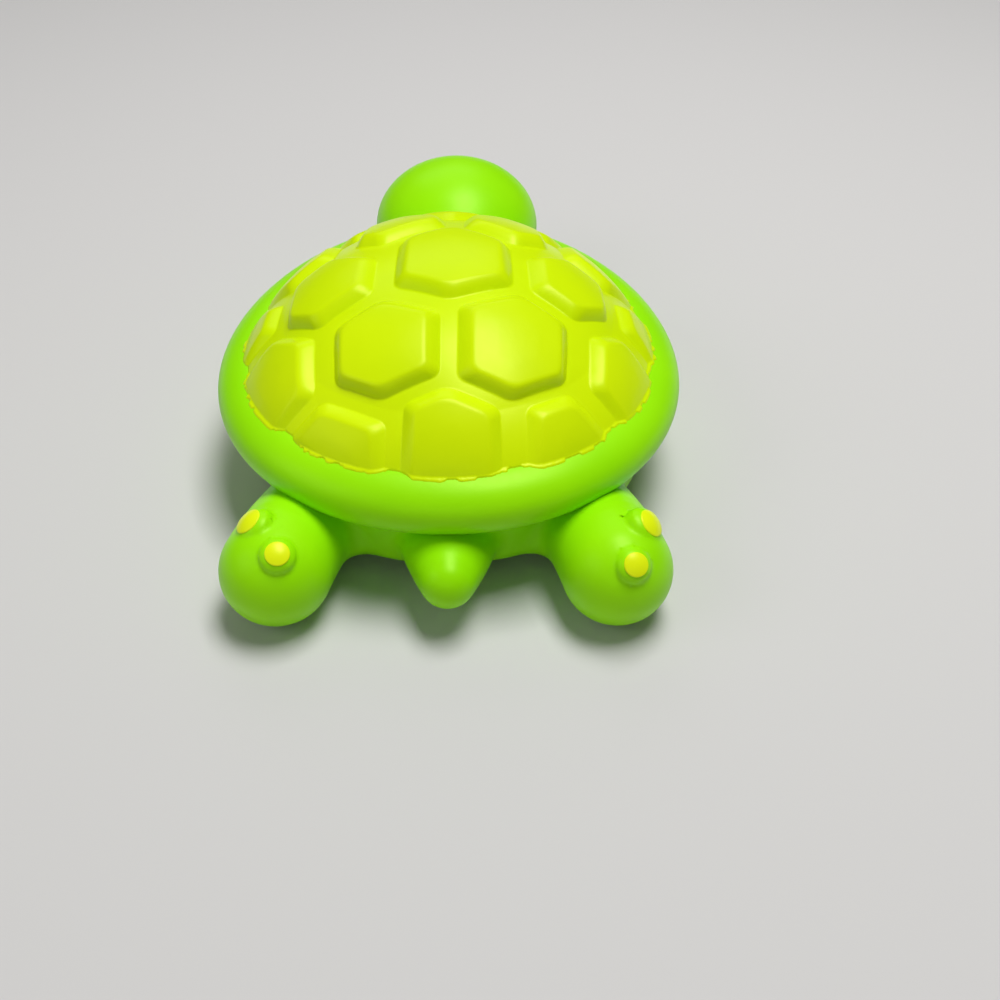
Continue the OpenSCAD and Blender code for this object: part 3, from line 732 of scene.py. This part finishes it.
GREEN = vinyl("green_vinyl", (0.30, 0.81, 0.001), (0.34, 0.86, 0.002), 0.36, shine=0.3, gloss=(0.8, 1, 0.3))
YELLOW = vinyl("yellow_vinyl", (0.60, 0.83, 0.001), (0.66, 0.88, 0.002), 0.30, shine=0.25, gloss=(1, 1, 0.3))
BRIGHT = vinyl("yellow_vinyl_spots", (0.76, 0.92, 0.004), (0.82, 0.95, 0.008), 0.30, shine=0.3,
               gloss=(1, 1, 0.4))
WHITE = vinyl("white_vinyl", (0.80, 0.80, 0.77), (0.86, 0.86, 0.83), 0.35)
BLACK = vinyl("black_vinyl", (0.012, 0.012, 0.012), (0.02, 0.02, 0.02), 0.22)
PLASTIC = vinyl("squeaker_plastic", (0.74, 0.74, 0.70), (0.80, 0.80, 0.76), 0.28, skin=0.00004)
BRASS = brass()


def dress(ob, material):
    ob.data.materials.clear()
    ob.data.materials.append(material)


# The pieces
green = make_green_body(GREEN_STEP)
dress(green, GREEN)
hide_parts("body_casting")
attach(green, "root")

rim = make_rim()
dress(rim, GREEN)
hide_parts("body_casting")
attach(rim, "root")

shell = make_shell(SHELL_GRID)
dress(shell, YELLOW)
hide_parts("shell_skin")
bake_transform(shell)

liner = make_liner()
dress(liner, GREEN)
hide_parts("body_casting")
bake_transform(liner)


def cap_for(node_name, place, r, height, deep, material):
    ob = make_cap(node_name + "_cap", place, r, height, deep)
    dress(ob, material)
    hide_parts(node_name)
    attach(ob, "root")


for name in SPOTS:
    cap_for(name, spot_place(name), SPOTS[name][-2], spot_height, SPOT_DEEP, BRIGHT)
for word, side in (("left", 1), ("right", -1)):
    cap_for("eye_white_" + word, eye_place(side), EYE_R, white_height, WALL / 2, WHITE)
    cap_for("pupil_" + word, eye_place(side), PUPIL_R, pupil_height, PUPIL_DEEP, BLACK)

for name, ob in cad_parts.items():
    if name == "reed":
        dress(ob, BRASS)
    elif name.startswith(("squeaker", "reed")):
        dress(ob, PLASTIC)


# Floor and light, in metres and watts
def make_floor(half=3.0):
    me = bpy.data.meshes.new("floor")
    corners = [(-half, -half, 0), (half, -half, 0), (half, half, 0), (-half, half, 0)]
    me.from_pydata(corners, [], [(0, 1, 2, 3)])
    ob = bpy.data.objects.new("floor", me)
    scene.collection.objects.link(ob)
    m, _, bsdf = new_material("floor")
    bsdf.inputs["Base Color"].default_value = (0.62, 0.61, 0.60, 1)
    bsdf.inputs["Roughness"].default_value = 0.9
    bsdf.inputs["Specular IOR Level"].default_value = 0.2
    dress(ob, m)


def area(name, place, look, size, power):
    """A soft rectangular light at a place, turned to what it looks at."""
    data = bpy.data.lights.new(name, "AREA")
    data.shape = "RECTANGLE"
    data.size, data.size_y = size
    data.energy = power
    ob = bpy.data.objects.new(name, data)
    scene.collection.objects.link(ob)
    ob.location = place
    ob.rotation_mode = "QUATERNION"
    ob.rotation_quaternion = (Vector(look) - Vector(place)).to_track_quat("-Z", "Y")


make_floor()
TARGET = (0, 0, 0.02)
area("key", (-0.12, -0.05, 0.70), TARGET, (0.40, 0.26), 4.75)
area("fill", (0.62, 0.25, 0.45), TARGET, (0.5, 0.4), 0.75)
area("near", (0.10, 0.72, 0.30), TARGET, (0.7, 0.4), 0.4)
area("back", (0.1, -0.7, 0.6), TARGET, (0.6, 0.4), 0.6)

world = bpy.data.worlds.new("world")
scene.world = world
world.use_nodes = True
background = world.node_tree.nodes["Background"]
background.inputs["Color"].default_value = (1, 1, 1, 1)
background.inputs["Strength"].default_value = 0.09
world.cycles_visibility.glossy = False

# The camera as fitted to the photo: its place in millimetres about the rim's middle, its turns and its focal
# length in pixels of the photo's width
CAMERA = (-4.25, 165.3, 127.1)
YAW, ELEVATION, ROLL = math.radians(1.72), math.radians(41.15), math.radians(0.76)
PHOTO_PX, FOCAL_PX, SENSOR = 1000, 1094.2, 36

level = math.cos(ELEVATION)
forward = Vector((-math.sin(YAW) * level, -math.cos(YAW) * level, -math.sin(ELEVATION)))
right = Vector((-math.cos(YAW), math.sin(YAW), 0))
up = right.cross(forward)
rolled_right = right * math.cos(ROLL) + up * math.sin(ROLL)
rolled_up = -right * math.sin(ROLL) + up * math.cos(ROLL)
data = bpy.data.cameras.new("camera")
data.sensor_width = SENSOR
data.lens = FOCAL_PX / PHOTO_PX * SENSOR
data.clip_start = 0.01
camera = bpy.data.objects.new("camera", data)
scene.collection.objects.link(camera)
turn = Matrix((rolled_right, rolled_up, -forward)).transposed().to_4x4()
x, y, z = CAMERA
camera.matrix_world = Matrix.Translation((x * MM, (y + MID) * MM, z * MM)) @ turn
scene.camera = camera

scene.view_settings.view_transform = "Standard"
